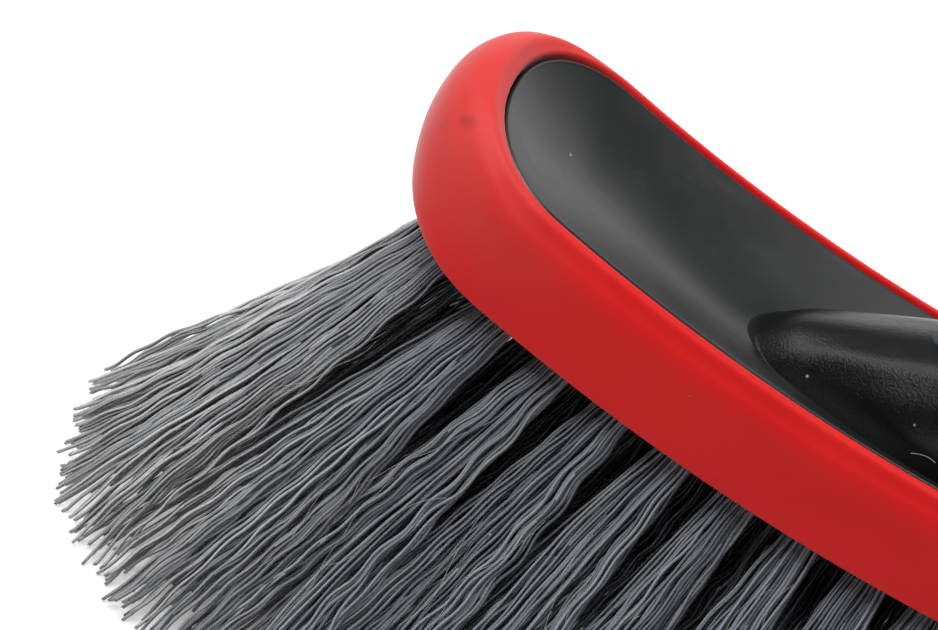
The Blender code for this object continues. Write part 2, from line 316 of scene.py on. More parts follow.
class Paint:
    """A node tree, and what is put together in it."""

    def __init__(self, tree):
        self.tree = tree

    def add(self, kind, settings=None, inputs=None, output=0):
        """A node: its settings first, then the values or links of its sockets."""
        node = self.tree.nodes.new(kind)
        for name, value in (settings or {}).items():
            setattr(node, name, value)
        for name, value in (inputs or {}).items():
            self.feed(node.inputs[name], value)
        return Flow(self, node.outputs[output])

    def feed(self, socket, value):
        """Link a flow to a socket, or set the socket's own value."""
        if isinstance(value, Flow):
            self.tree.links.new(value.socket, socket)
        else:
            socket.default_value = value

    def other(self, flow, output):
        """Another output of the same node."""
        return Flow(self, flow.socket.node.outputs[output])

    def place(self):
        """The point on the object, in metres."""
        return self.add("ShaderNodeTexCoord", output="Object")

    def parts(self, vector=None):
        """The three parts of a vector, or of the point on the object."""
        first = self.add("ShaderNodeSeparateXYZ", None, {0: vector or self.place()})
        return first, self.other(first, 1), self.other(first, 2)

    def noise(self, scale, detail=2.0, roughness=0.5, distortion=0.0, where=None):
        """Noise with a size given in grains to the metre."""
        sizes = {"Scale": scale, "Detail": detail, "Roughness": roughness, "Distortion": distortion}
        return self.add("ShaderNodeTexNoise", None, {"Vector": where or self.place(), **sizes})

    def cells(self, scale):
        """Distance to the middle of the nearest cell."""
        return self.add("ShaderNodeTexVoronoi", None, {"Vector": self.place(), "Scale": scale})

    def stretched(self, scale):
        """The point on the object with each direction scaled."""
        return self.add("ShaderNodeMapping", {"vector_type": "POINT"}, {"Vector": self.place(), "Scale": scale})

    def blend(self, share, first, second):
        """Mix two colours."""
        settings = {"data_type": "RGBA", "clamp_factor": True}
        full = [c if isinstance(c, Flow) else (*c, 1.0) for c in (first, second)]
        return self.add("ShaderNodeMix", settings, {0: share, 6: full[0], 7: full[1]}, 2)

    def bump(self, height, strength, depth):
        """Lift the surface by a height."""
        return self.add("ShaderNodeBump", None, {"Height": height, "Strength": strength, "Distance": depth})

    def specks(self, scale, size, rarity):
        """Sparse round specks: a cell's middle, where chance allows one."""
        near = self.cells(scale)
        chance = self.add("ShaderNodeSeparateColor", None, {0: self.other(near, 1)})
        return near.ease(size, size * 0.6) * chance.ease(rarity, rarity + 0.01)

    def near(self, centre, radius):
        """1 at a point, and 0 beyond a radius from it."""
        there = self.add("ShaderNodeVectorMath", {"operation": "DISTANCE"}, {0: self.place(), 1: centre}, 1)
        return there.ease(radius, 0.0)


def new_finish(name, **constants):
    """A material, its paint and its shader with constant values set on it."""
    mat = bpy.data.materials.new(name)
    mat.use_nodes = True
    shader = mat.node_tree.nodes["Principled BSDF"]
    for socket, value in constants.items():
        shader.inputs[socket.replace("_", " ")].default_value = value
    return mat, Paint(mat.node_tree), shader.inputs


def satin_black():
    """Black polypropylene of the head: satin, softly scuffed, with a little dust."""
    mat, paint, shader = new_finish("satin_black", Specular_IOR_Level=0.5)
    cloud = paint.noise(55.0, 3.0, 0.55)
    fine = paint.noise(2600.0, 2.0, 0.6)
    scuff = paint.noise(260.0, 4.0, 0.65, 0.6, paint.stretched((0.35, 1.0, 1.0)))
    colour = paint.blend(cloud.ease(0.35, 0.70), (0.0085, 0.0095, 0.0095), (0.0130, 0.0140, 0.0138))
    colour = paint.blend(scuff.ease(0.58, 0.80) * 0.25, colour, (0.040, 0.042, 0.040))
    colour = paint.blend(paint.specks(210.0, 0.055, 0.86) * 0.55, colour, (0.42, 0.43, 0.42))
    paint.feed(shader["Base Color"], colour)
    paint.feed(shader["Roughness"], 0.29 + 0.06 * cloud + 0.08 * scuff.ease(0.45, 0.80) + 0.05 * fine)
    height = fine * 0.5 + paint.noise(900.0) * 0.5
    paint.feed(shader["Normal"], paint.bump(height, 0.30, 0.00005))
    return mat


def grained_black():
    """The handle: the same plastic from a spark grained mould."""
    mat, paint, shader = new_finish("grained_black", Specular_IOR_Level=0.32)
    grain = paint.noise(3300.0, 3.0, 0.6)
    cloud = paint.noise(60.0, 3.0, 0.55)
    colour = paint.blend(cloud.ease(0.35, 0.70), (0.0032, 0.0035, 0.0037), (0.0055, 0.0060, 0.0063))
    colour = paint.blend(paint.specks(150.0, 0.05, 0.80) * 0.8, colour, (0.55, 0.56, 0.56))
    for place, size in HANDLE_DUST:
        colour = paint.blend(paint.near(place, size), colour, (0.40, 0.40, 0.39))
    paint.feed(shader["Base Color"], colour)
    paint.feed(shader["Roughness"], 0.19 + 0.06 * cloud + 0.08 * grain)
    height = grain + paint.noise(1200.0) * 0.2
    paint.feed(shader["Normal"], paint.bump(height, 0.65, 0.00010))
    return mat


def red_rubber():
    """The soft ring: satin red with a painted pale sheen on the top of its end, smudges and dust."""
    mat, paint, shader = new_finish("red_rubber", Specular_IOR_Level=0.20, Sheen_Weight=0.30, Sheen_Roughness=0.35)
    along, _, up = paint.parts()
    cloud = paint.noise(38.0, 3.0, 0.5)
    fine = paint.noise(2200.0, 2.0, 0.6)
    smear = paint.noise(110.0, 3.0, 0.6, 0.3)
    colour = paint.blend(cloud.ease(0.30, 0.72), (0.640, 0.0080, 0.0085), (0.700, 0.0115, 0.0110))
    # Painted sheen: the top of the ring's end is blended towards a pale pink, standing in for light reflected
    # there.
    ahead, above = along - DATUM, RIM + ARC - up
    below = (ahead * ahead + above * above) ** 0.5 - ARC
    end = along.ease(-0.118, -0.152) * smear.ease(-0.30, 1.0) * below.ease(0.017, 0.002)
    colour = paint.blend(end * 0.46, colour, (0.50, 0.13, 0.115))
    grime = smear.ease(0.60, 0.80) * along.ease(-0.128, -0.146)
    colour = paint.blend(grime * 0.25, colour, (0.25, 0.030, 0.028))
    for place, size in RING_SMUDGES:
        smudge = paint.near(place, size) * smear.ease(0.30, 0.60) * 0.40
        colour = paint.blend(smudge, colour, (0.16, 0.020, 0.020))
    colour = paint.blend(paint.specks(170.0, 0.05, 0.88) * 0.35, colour, (0.66, 0.30, 0.28))
    paint.feed(shader["Base Color"], colour)
    paint.feed(shader["Roughness"], 0.46 + 0.08 * cloud + 0.10 * smear)
    height = fine * 0.4 + paint.noise(420.0, 3.0) * 0.6
    paint.feed(shader["Normal"], paint.bump(height, 0.25, 0.00007))
    return mat


def inlay_rubber():
    """The soft inlay of the handle: blue black and matt, with a fine pebble."""
    mat, paint, shader = new_finish("inlay_rubber", Specular_IOR_Level=0.4)
    cloud = paint.noise(45.0, 3.0, 0.55)
    colour = paint.blend(cloud.ease(0.3, 0.7), (0.022, 0.026, 0.036), (0.034, 0.039, 0.050))
    colour = paint.blend(paint.specks(190.0, 0.06, 0.85) * 0.5, colour, (0.40, 0.40, 0.41))
    paint.feed(shader["Base Color"], colour)
    paint.feed(shader["Roughness"], 0.58 + 0.14 * cloud)
    paint.feed(shader["Normal"], paint.bump(1.0 - paint.cells(1500.0).clamp(), 0.45, 0.00010))
    return mat


def grey_filament():
    """The filaments: each its own grey, with painted light making them paler at the front end and painted shade
    darkening them at the roots.
    """
    mat, paint, shader = new_finish("grey_filament", Specular_IOR_Level=0.5)
    own = paint.add("ShaderNodeNewGeometry", output="Random Per Island")
    along, _, up = paint.parts()
    streak = paint.noise(900.0, 2.0, 0.6)
    colour = paint.blend(own, (0.085, 0.093, 0.112), (0.400, 0.420, 0.465))
    # Painted light: towards the front end the filaments are blended paler, as if more light fell on them there.
    painted_light_tone = paint.blend(own, (0.170, 0.176, 0.184), (0.680, 0.686, 0.692))
    colour = paint.blend(along.ease(-0.128, -0.168), colour, painted_light_tone)
    # Painted shade: the filaments are darkened towards their roots under the head.
    colour = paint.blend(up.ease(0.024, 0.062) * 0.30, colour, (0.085, 0.093, 0.108))
    colour = paint.blend(streak.ease(0.35, 0.75) * 0.20, colour, (0.14, 0.145, 0.155))
    paint.feed(shader["Base Color"], colour)
    paint.feed(shader["Roughness"], 0.22 + 0.14 * streak)
    return mat


def pale_fluff():
    """Fine dust fibres caught on the brush."""
    mat, paint, shader = new_finish("pale_fluff", Specular_IOR_Level=0.3)
    tone = paint.noise(300.0, 2.0)
    paint.feed(shader["Base Color"], paint.blend(tone, (0.34, 0.32, 0.29), (0.62, 0.60, 0.57)))
    paint.feed(shader["Roughness"], 0.55 + 0.2 * tone)
    return mat


def white_table():
    """A pale table that reads as white, keeps the brush's shadow, and has a painted shadow under the brush."""
    mat, paint, shader = new_finish("white_table", Roughness=0.9, Specular_IOR_Level=0.1, Emission_Strength=1.0)
    paint.feed(shader["Base Color"], (0.50, 0.50, 0.50, 1.0))
    seen = paint.add("ShaderNodeLightPath", output="Is Camera Ray")
    mirrored = paint.other(seen, "Is Glossy Ray").most(paint.other(seen, "Is Transmission Ray"))
    along, across, _ = paint.parts()
    # Painted shadow: the table's glow is dimmed in a soft patch under the brush.
    outside_painted_shadow = 1 - abs(across).ease(0.044, 0.022) * abs(along - DATUM).ease(0.125, 0.095) * 0.85
    away = abs(across).ease(0.12, 0.50).most(abs(along).ease(0.30, 0.80))
    pale = paint.blend(away, (0.62, 0.62, 0.62), (1.0, 1.0, 1.0))
    glow = paint.blend(seen * outside_painted_shadow, (0.0, 0.0, 0.0), pale)
    paint.feed(shader["Emission Color"], paint.blend(mirrored * outside_painted_shadow, glow, (0.90, 0.90, 0.90)))
    return mat


# ---- shapes

def bend(points):
    """Lay points of the flat head on its arc, and in the brush's own place."""
    x, y, z = points[:, 0], points[:, 1], points[:, 2]
    reach = ARC - z
    return np.stack((DATUM + reach * np.sin(x / ARC), y, RIM + ARC - reach * np.cos(x / ARC)), 1)


def flatten(points):
    """Flat head coordinates of points of the brush."""
    x, z = points[:, 0] - DATUM, RIM + ARC - points[:, 2]
    return np.stack((ARC * np.arctan2(x, z), points[:, 1], ARC - np.hypot(x, z)), 1)


def ease(share):
    """A smooth step from 0 to 1."""
    share = np.clip(share, 0.0, 1.0)
    return share * share * (3 - 2 * share)


def outline_sizes(side_out, end_out):
    """Straight half length, length of the end and half width of an outline set out from the dish."""
    inner = END_CAP * (1 + np.minimum(side_out, 0.0) / HALF_WIDTH)
    cap = np.where(np.asarray(end_out) > 0, END_CAP + end_out, inner)
    return HALF_LENGTH + end_out - cap, cap, HALF_WIDTH + side_out


def head_ring(side_out, end_out, z, lift=0.0):
    """Flat points all round the head, set out from the edge of the dish."""
    straight, cap, wide = outline_sizes(side_out, end_out)
    run = np.arange(SIDE_STEPS) / SIDE_STEPS
    turn = pi / 2 * np.arange(CAP_STEPS + 1) / CAP_STEPS
    x = np.concatenate((straight * run, straight + cap * np.sin(turn) ** (2 / CAP_POWER)))
    y = np.concatenate((np.full(SIDE_STEPS, wide), wide * np.clip(np.cos(turn), 0, 1) ** (2 / CAP_POWER)))
    y[-1] = 0.0
    far = np.column_stack((np.concatenate((x[::-1], -x[1:])), np.concatenate((y[::-1], y[1:]))))
    near = far[-2:0:-1] * (1, -1)
    flat = np.vstack((far, near))
    return np.column_stack((flat, z + lift * ease((np.abs(flat[:, 0]) - LIFT_START) / LIFT_RUN)))


OVAL_COUNT = len(head_ring(0.0, 0.0, 0.0))


def smooth_path(points, steps):
    """More points on a curve through the given ones."""
    points = np.array(points, float)
    ends = np.vstack((2 * points[0] - points[1], points, 2 * points[-1] - points[-2]))
    result = []
    for k in range(len(points) - 1):
        a, b, c, d = ends[k : k + 4]
        for j in range(steps):
            t = j / steps
            result.append(0.5 * (2 * b + (c - a) * t + (2 * a - 5 * b + 4 * c - d) * t**2
                                 + (3 * b - a - 3 * c + d) * t**3))
    return np.array(result + [points[-1]])


def loft_faces(rows, count, closed=False):
    """Quads between rings of the same count."""
    faces = []
    for k in range(rows if closed else rows - 1):
        a, b = k * count, (k + 1) % rows * count
        for j in range(count):
            i = (j + 1) % count
            faces.append((a + j, a + i, b + i, b + j))
    return faces


def new_piece(name, points, faces, *mats, marks=None):
    """A smooth mesh object from points and faces."""
    mesh = bpy.data.meshes.new(name)
    mesh.from_pydata([tuple(p) for p in points], [], faces)
    for mat in mats:
        mesh.materials.append(mat)
    if marks is not None:
        mesh.polygons.foreach_set("material_index", marks)
    mesh.shade_smooth()
    mesh.set_sharp_from_angle(angle=radians(38.0))
    piece = bpy.data.objects.new(name, mesh)
    bpy.context.scene.collection.objects.link(piece)
    return piece


class Sheets:
    """Points and faces gathered from several sheets of one piece."""

    def __init__(self):
        self.points = np.zeros((0, 3))
        self.faces = []
        self.marks = []

    def take(self, points, faces, mark=0):
        start = len(self.points)
        self.points = np.vstack((self.points, points))
        self.faces += [tuple(start + k for k in face) for face in faces]
        self.marks += [mark] * len(faces)


def share_level(share, x):
    """Height of the dish over the rim at a share of the way out, shallower towards its ends."""
    depth = DISH_DEPTH * (1 - DISH_FADE * ease((np.abs(x) - FADE_START) / FADE_RUN))
    return DISH_RISE - depth * (1 - share**DISH_POWER)


def dish_level(x, y):
    """Height of the head's top over the flat rim."""
    low, high = np.full(len(x), 1e-4), np.full(len(x), 1.13)
    for _ in range(DISH_HALVINGS):
        share = (low + high) / 2
        out = -LAND - FLOOR_HALF * (1 - share)
        straight, cap, wide = outline_sizes(out, out)
        reach = np.clip((np.abs(x) - straight) / cap, 0, None) ** CAP_POWER + np.abs(y / wide) ** CAP_POWER
        low, high = np.where(reach > 1, share, low), np.where(reach > 1, high, share)
    return np.where(share < 1, share_level(share, x), 0.0)


def handle_axis(distance):
    """Places and slopes of the handle's axis, in the head's own place."""
    straight = np.minimum(distance, STRAIGHT)
    slope = SLOPE - np.maximum(distance - STRAIGHT, 0.0) / BEND
    x = CROSSING + straight * cos(SLOPE) + BEND * (sin(SLOPE) - np.sin(slope))
    z = RIM + straight * sin(SLOPE) + BEND * (np.cos(slope) - cos(SLOPE))
    return x, z, slope


def handle_form(distance):
    """Half width and half height of the handle."""
    share = (distance + ROOT_BACK) / (ROOT_BACK + REACH)
    k = np.clip(np.searchsorted(HANDLE_FORM[:, 0], share) - 1, 0, len(HANDLE_FORM) - 2)
    low, high = HANDLE_FORM[k], HANDLE_FORM[k + 1]
    step = ease((share - low[..., 0]) / (high[..., 0] - low[..., 0]))
    return (low[..., 1:] + (high[..., 1:] - low[..., 1:]) * step[..., None]).T * RADIUS


def handle_points(distance, turn, offset=0.0):
    """Points of the handle's skin at a distance along it and a turn round it."""
    distance = np.broadcast_to(np.asarray(distance, float), np.shape(turn))
    wide, tall = handle_form(distance)
    x, z, slope = handle_axis(distance)
    grown = ease((distance - RIDGE_START) / RIDGE_RUN)
    spread = (np.abs(turn - pi / 2) - RIDGE_TURN - RIDGE_CLOSED * (1 - grown)) / RIDGE_WIDTH
    ridge = 1 + RIDGE_RISE * grown * np.exp(-(spread**2))
    up = (tall * ridge + offset) * np.sin(turn)
    side = (wide * ridge + offset) * np.cos(turn)
    return np.stack((DATUM + x - up * np.sin(slope), side, z + up * np.cos(slope)), -1)


def hole_ring(x, y, z):
    """A flat circle at a tuft's hole."""
    turn = 2 * pi * np.arange(HOLE_SIDES) / HOLE_SIDES
    return np.column_stack((x + HOLE * np.cos(turn), y + HOLE * np.sin(turn), np.full(HOLE_SIDES, z)))


def under_sheet(holes):
    """The head's underside, with a round opening for each tuft."""
    rim = head_ring(-EDGE, -EDGE, 0.0)[:, :2]
    loops = [rim] + [hole_ring(x, y, 0.0)[:, :2] for x, y in holes]
    points, edges = [], []
    for loop in loops:
        start = len(points)
        points += [Vector(p) for p in loop]
        edges += [(start + k, start + (k + 1) % len(loop)) for k in range(len(loop))]
    centres = np.array(holes)
    straight, cap, wide = outline_sizes(-EDGE, -EDGE)
    for x in np.arange(-HALF_LENGTH + UNDER_PITCH, HALF_LENGTH - 0.003, UNDER_PITCH):
        for y in UNDER_ROWS:
            inside = max(abs(x) - straight, 0) ** 2 / cap**2 + (y / wide) ** 2 < 0.88
            if inside and np.hypot(*(centres - (x, y)).T).min() > HOLE + 0.0004:
                points.append(Vector((x, y)))
    found, _, faces, *_ = delaunay_2d_cdt(points, edges, [], 1, 1e-7)
    flat = np.array([tuple(p) for p in found])
    kept = []
    for face in faces:
        middle = flat[list(face)].mean(0)
        if np.hypot(*(centres - middle).T).min() > HOLE * 0.98:
            kept.append(tuple(face)[::-1])
    return np.column_stack((flat, np.full(len(flat), -HEAD_DEPTH))), kept


def head_piece(satin, grained):
    """Head and handle as one moulding."""
    sheets = Sheets()
    rings = [head_ring(out, out, z) for out, z in HEAD_SECTION]
    for share in 1 - np.linspace(0.0, 1.0, DISH_ROWS + 1)[:-1] ** 1.15:
        out = -LAND - FLOOR_HALF * (1 - share)
        ring = head_ring(out, out, 0.0)
        ring[:, 2] = share_level(share, ring[:, 0])
        rings.append(ring)
    faces = loft_faces(len(rings), OVAL_COUNT)
    start = (len(rings) - 1) * OVAL_COUNT
    for k in range(OVAL_COUNT // 2):
        strip = (start + k, start + k + 1, start + OVAL_COUNT - k - 1, start + (OVAL_COUNT - k) % OVAL_COUNT)
        faces.append(tuple(dict.fromkeys(strip)))
    sheets.take(bend(np.vstack(rings)), faces)

    places = tuft_places()
    sheet, kept = under_sheet([(x, y) for _, x, y, _, _ in places])
    sheets.take(bend(sheet), kept)
    for _, x, y, fan, flare in places:
        way = tuft_axis(x, y, fan, flare)[1]
        rim = bend(hole_ring(x, y, -HEAD_DEPTH))
        wall = np.vstack((rim, rim - way * HOLE_DEPTH))
        sheets.take(wall, loft_faces(2, HOLE_SIDES) + [tuple(range(HOLE_SIDES, 2 * HOLE_SIDES))])

    skin = slotted_handle()
    kept = [p for p in skin.polygons if p.material_index == 0]
    sheets.take(np.array([v.co for v in skin.vertices]), [tuple(p.vertices) for p in kept], 1)
    piece = new_piece("brush_moulding", sheets.points, sheets.faces, satin, grained, marks=sheets.marks)
    evened = piece.modifiers.new("evened", "WEIGHTED_NORMAL")
    evened.mode, evened.weight, evened.keep_sharp = "FACE_AREA", 70, True
    return piece


def crease_distances(turn):
    """How far along the handle its skin comes out of the dish, for each turn round it."""
    low, high = np.full(len(turn), -0.045), np.full(len(turn), ROOT_END)
    for _ in range(HALVINGS):
        middle = (low + high) / 2
        flat = flatten(handle_points(middle, turn))
        above = flat[:, 2] > dish_level(flat[:, 0], flat[:, 1])
        low, high = np.where(above, low, middle), np.where(above, middle, high)
    return high


def root_rows(turn):
    """Fillet between dish and handle: wide and soft at the nose, tight at the sides."""
    out = crease_distances(turn)
    crease = handle_points(out, turn)
    nose = np.clip(np.sin(turn), 0, 1) ** 12
    width = FILLET_LEAST + FILLET_NOSE * nose
    start = out + width * (1.5 - 0.4 * nose)
    lifted = handle_points(start, turn)
    flat = flatten(crease)[:, :2]
    ahead = np.roll(flat, -1, 0) - np.roll(flat, 1, 0)
    normal = np.stack((-ahead[:, 1], ahead[:, 0]), 1)
    normal /= np.linalg.norm(normal, axis=1)[:, None]
    normal *= np.sign(((flat - flat.mean(0)) * normal).sum(1))[:, None]
    spread = flat + normal * width[:, None]
    floor = bend(np.column_stack((spread, dish_level(spread[:, 0], spread[:, 1]) - FILLET_TUCK)))
    rows = []
    for t in np.linspace(0, 1, FILLET_ROWS):
        rows.append((1 - t) ** 2 * floor + 2 * t * (1 - t) * crease + t**2 * lifted)
    return rows, start


def slotted_handle():
    """The handle's skin with its root fillet, rounded end and hanging slot."""
    turn = 2 * pi * np.arange(HANDLE_SIDES) / HANDLE_SIDES
    rows, start = root_rows(turn)
    for share in np.linspace(0, 1, ROOT_ROWS)[1:]:
        rows.append(handle_points(start + (ROOT_END - start) * share, turn))
    whole_end = REACH - TIP_ROUND
    for distance in np.linspace(ROOT_END, whole_end, SHAFT_ROWS)[1:]:
        rows.append(handle_points(distance, turn))
    for angle in np.linspace(0, pi / 2, TIP_ROWS)[1:-1]:
        rows.append(handle_points(whole_end + TIP_ROUND * sin(angle), turn, -TIP_ROUND * (1 - cos(angle))))
    faces = loft_faces(len(rows), HANDLE_SIDES)
    last = (len(rows) - 1) * HANDLE_SIDES
    faces.append(tuple(range(last, last + HANDLE_SIDES)))
    faces.append(tuple(range(HANDLE_SIDES))[::-1])
    marks = [0] * (len(faces) - 1) + [1]
    plain = [bpy.data.materials.new(f"guide_{k}") for k in range(2)]
    skin = new_piece("handle_skin", np.vstack(rows), faces, *plain, marks=marks)
    cutter = slot_cutter(plain[0])
    cut = skin.modifiers.new("slot", "BOOLEAN")
    cut.operation, cut.solver, cut.object = "DIFFERENCE", "EXACT", cutter
    mesh = bpy.data.meshes.new_from_object(skin.evaluated_get(bpy.context.evaluated_depsgraph_get()))
    for guide in (skin, cutter):
        bpy.data.objects.remove(guide, do_unlink=True)
    return mesh


def slot_cutter(mat):
    """The hanging slot as a solid whose mouths follow the handle and flare into rounded lips."""
    middle = REACH - SLOT_SETBACK
    x0, z0, slope = (float(v) for v in handle_axis(np.array(middle)))
    half = (SLOT_LENGTH - SLOT_WIDTH) / 2
    turn = np.linspace(-pi / 2, pi / 2, SLOT_STEPS)
    out = np.column_stack((np.cos(turn), np.sin(turn)))
    ways = np.vstack((out, -out))
    base = np.vstack((out * SLOT_WIDTH / 2 + (half, 0), -out * SLOT_WIDTH / 2 - (half, 0)))
    wide, tall = handle_form(middle + base[:, 0])
    top = tall * np.sqrt(1 - (base[:, 1] / wide) ** 2)
    upper = []
    for angle in np.linspace(0, pi / 2, LIP_STEPS):
        flat = base + ways * SLOT_LIP * (1 - cos(angle))
        upper.append(np.column_stack((flat, top - SLOT_LIP * (1 - sin(angle)))))
    flat = base + ways * SLOT_LIP * 1.02
    upper.append(np.column_stack((flat, top + SLOT_OVERRUN)))
    lower = [row * (1, 1, -1) for row in upper[::-1]]
    points = np.vstack(lower + upper)
    count = len(base)
    rows = len(lower) * 2
    faces = loft_faces(rows, count)
    faces += [tuple(range(count))[::-1], tuple(range((rows - 1) * count, rows * count))]
    along, across, up = points.T
    points = np.stack((DATUM + x0 + along * cos(slope) - up * sin(slope), across,
                       z0 + along * sin(slope) + up * cos(slope)), 1)
    return new_piece("slot_cutter", points, faces, mat)


def ring_piece(mat):
    """The soft red ring."""
    section = [(SEAM, SEAM, -0.0010, 0.0), (SEAM, SEAM, LIP * 0.2, 0.04 * END_LIFT)]
    for side, end, drop, lift in RING_SECTION:
        z = drop * RING_DROP + (LIP if drop > 0 else 0.0)
        section.append((side * SIDE_REACH, end * END_REACH, z, lift * END_LIFT))
    rows = list(smooth_path(section, 5)) + [(SEAM, SEAM, -HEAD_DEPTH, 0.0), (SEAM, SEAM, -0.0075, 0.0)]
    points = bend(np.vstack([head_ring(*row) for row in rows]))
    return new_piece("red_ring", points, loft_faces(len(rows), OVAL_COUNT, True), mat)


def top_distance(place):
    """How far along the handle its top line stands over a place."""
    low, high = np.full(len(place), -ROOT_BACK), np.full(len(place), REACH)
    for _ in range(HALVINGS):
        middle = (low + high) / 2
        before = handle_points(middle, np.full(len(place), pi / 2))[:, 0] < DATUM + place
        low, high = np.where(before, middle, low), np.where(before, high, middle)
    return high


def inlay_piece(mat):
    """The soft inlay of the handle, crowned a little over the plastic with its edge tucked in."""
    slot_start = REACH - SLOT_SETBACK - SLOT_LENGTH / 2
    end = float(handle_axis(np.array(slot_start - GRIP_TO_SLOT))[0])
    middle, half = (GRIP_START + end) / 2, (end - GRIP_START) / 2
    share = np.sin(pi / 2 * np.linspace(-1, 1, INLAY_ROWS))
    wide = GRIP_WIDTH / 2 * np.clip(1 - np.abs(share) ** GRIP_POWER, 0, 1) ** (1 / GRIP_POWER)
    distance = top_distance(middle + half * share)
    across = np.sin(pi / 2 * np.linspace(-1, 1, INLAY_SIDES))
    rows = []
    for d, w in zip(distance, wide):
        side = across * w
        form = float(handle_form(np.array(d))[0])
        lift = GRIP_CROWN - GRIP_TUCK * np.exp(-(w - np.abs(side)) / TUCK_RUN)
        rows.append(handle_points(d, np.arccos(np.clip(side / form, -1, 1)), lift))
    count = len(across)
    faces = []
    for k in range(len(rows) - 1):
        for j in range(count - 1):
            a = k * count + j
            faces.append((a, a + count, a + count + 1, a + 1))
    return new_piece("inlay", np.vstack(rows), faces, mat)


# ---- tufts

def tuft_places():
    """Name, flat place, fan and flare of every tuft."""
    field_half = HALF_LENGTH - END_MARGIN
    pitch = 2 * field_half / (MIDDLE_TUFTS - 1)
    row = HALF_WIDTH - SIDE_MARGIN
    corner = HALF_LENGTH - CORNER_MARGIN
    places = [(f"middle_{k + 1:02d}", pitch * k - field_half, 0.0, 0.0) for k in range(MIDDLE_TUFTS)]
    for side, word in ((-1, "near"), (1, "far")):
        for k in range(SIDE_TUFTS):
            x = pitch * (k - (SIDE_TUFTS - 1) / 2)
            places.append((f"{word}_{k + 1:02d}", x, side * row, side * SIDE_FLARE))
        for end, label in ((-1, "front"), (1, "grip")):
            places.append((f"{label}_{word}", end * corner, side * CORNER_ROW * row, side * CORNER_FLARE))
    return [(name, x, y, END_FAN * x / corner, flare) for name, x, y, flare in places]


def tuft_axis(x, y, fan, flare):
    """Mouth of a tuft's hole, and the way its filaments leave."""
    mouth = bend(np.array([(x, y, -HEAD_DEPTH)]))[0]
    lean = x / ARC + fan
    return mouth, np.array((sin(lean) * cos(flare), sin(flare), -cos(lean) * cos(flare)))


def tuft_frame(way):
    """Directions along and across the head, square to a tuft's way."""
    along = np.array((1.0, 0, 0)) - way * way[0]
    along /= np.linalg.norm(along)
    across = np.cross(way, along)
    return along, across * np.sign(across[1])


def gathered(tips, ragged):
    """Draw tips in to the rounded outline that all tufts together stand on."""
    centre = np.column_stack((DATUM + np.clip(tips[:, 0] - DATUM, FOOT_END - FOOT_HALF, FOOT_HALF - FOOT_END),
                              np.zeros(len(tips))))
    out = (tips - centre) / (FOOT_END, FOOT_WIDE)
    reach = np.linalg.norm(out, axis=1)
    soft = 1 - FOOT_SOFT
    drawn = np.where(reach > FOOT_SOFT, FOOT_SOFT + soft * np.tanh((reach - FOOT_SOFT) / soft), reach) * ragged
    return centre + out * (drawn / reach)[:, None] * (FOOT_END, FOOT_WIDE)


def tuft_locks(dice):
    """Each filament's own place in its hole, on a unit disc, the lock it joins and that lock's place."""
    order = np.arange(FILAMENTS) + 0.5
    turn = order * pi * (3 - 5**0.5) + dice.uniform(0, 2 * pi)
    disc = np.sqrt(order / FILAMENTS)[:, None] * np.stack((np.cos(turn), np.sin(turn)), 1)
    locks = dice.uniform(-0.8, 0.8, (LOCKS, 2))
    gaps = np.linalg.norm(disc[:, None] - locks[None], axis=2) + dice.uniform(0, 0.25, (FILAMENTS, LOCKS))
    lock = np.argmin(gaps, 1)
    return disc, lock, locks[lock]


def tuft_habit(mouth, way):
    """How a tuft opens, by its place."""
    near_side = mouth[1] < -SIDE_ROW
    out = abs(mouth[0] - DATUM)
    if out > AT_END:
        return "held_back" if way[1] > 0 and mouth[0] < DATUM else "end"
    if near_side:
        return "beside_end" if out > BESIDE_END else "near"
    return "hidden"


def filament_paths(mouth, way, dice):
    """Middle lines of a tuft's filaments, each crimped and drawn into locks."""
    along, across = tuft_frame(way)
    disc, lock, lock_place = tuft_locks(dice)
    habit = tuft_habit(mouth, way)
    widening, shift, opening, drawing = HABITS[habit]

    length = mouth[2] / -way[2]
    side = abs(mouth[1]) > SIDE_ROW
    straight_foot = (mouth + way * length)[:2]
    foot = straight_foot + (side * SIDE_TO_MIDDLE * (DATUM - mouth[0]) / HALF_LENGTH, side * SIDE_OUT * mouth[1])
    foot[1] += shift
    drawn = disc * OWN_SHARE + lock_place * LOCK_SHARE + dice.normal(0, SCATTER, (FILAMENTS, 2))
    stray = dice.random(FILAMENTS) < STRAYS
    drawn[stray] += dice.normal(0, STRAY_SCATTER, (stray.sum(), 2))
    fan = drawn * (SPREAD_ALONG * (SIDE_SPREAD if side else 1), SPREAD_ACROSS) * widening
    tip = gathered(foot + fan, dice.normal(1, RAGGED, FILAMENTS))
    rise = np.abs(dice.normal(0, RISE, FILAMENTS)).clip(0, MOST_RISE)

    t = np.linspace(0, 1, int(length / FILAMENT_STEP))[None, :, None]
    hole = (disc[:, :1] * along + disc[:, 1:] * across) * (HOLE - 0.0004)
    path = mouth - way * ROOT_DEPTH + way * (length + ROOT_DEPTH) * t + hole[:, None] * (1 - t)
    path[:, :, :2] += fan[:, None] * (1 - (1 - t) ** opening)
    path[:, :, :2] += (tip - straight_foot - fan)[:, None] * t**drawing
    path[:, :, 2] += rise[:, None] * t[:, :, 0] ** 3
    if habit == "held_back":
        path[:, :, 1] -= HELD_BACK * (ease((t[:, :, 0] - 0.04) / 0.19) - t[:, :, 0] ** 2)

    ramp = ease((t * length - CRIMP_START) / CRIMP_RUN)
    path += crimp(t * length, lock, dice, along, across) * ramp
    path += sway(t, lock, dice, along, across) * ramp
    path[:, :, 2] = np.maximum(path[:, :, 2], FILAMENT_RADIUS)
    return path, along, across


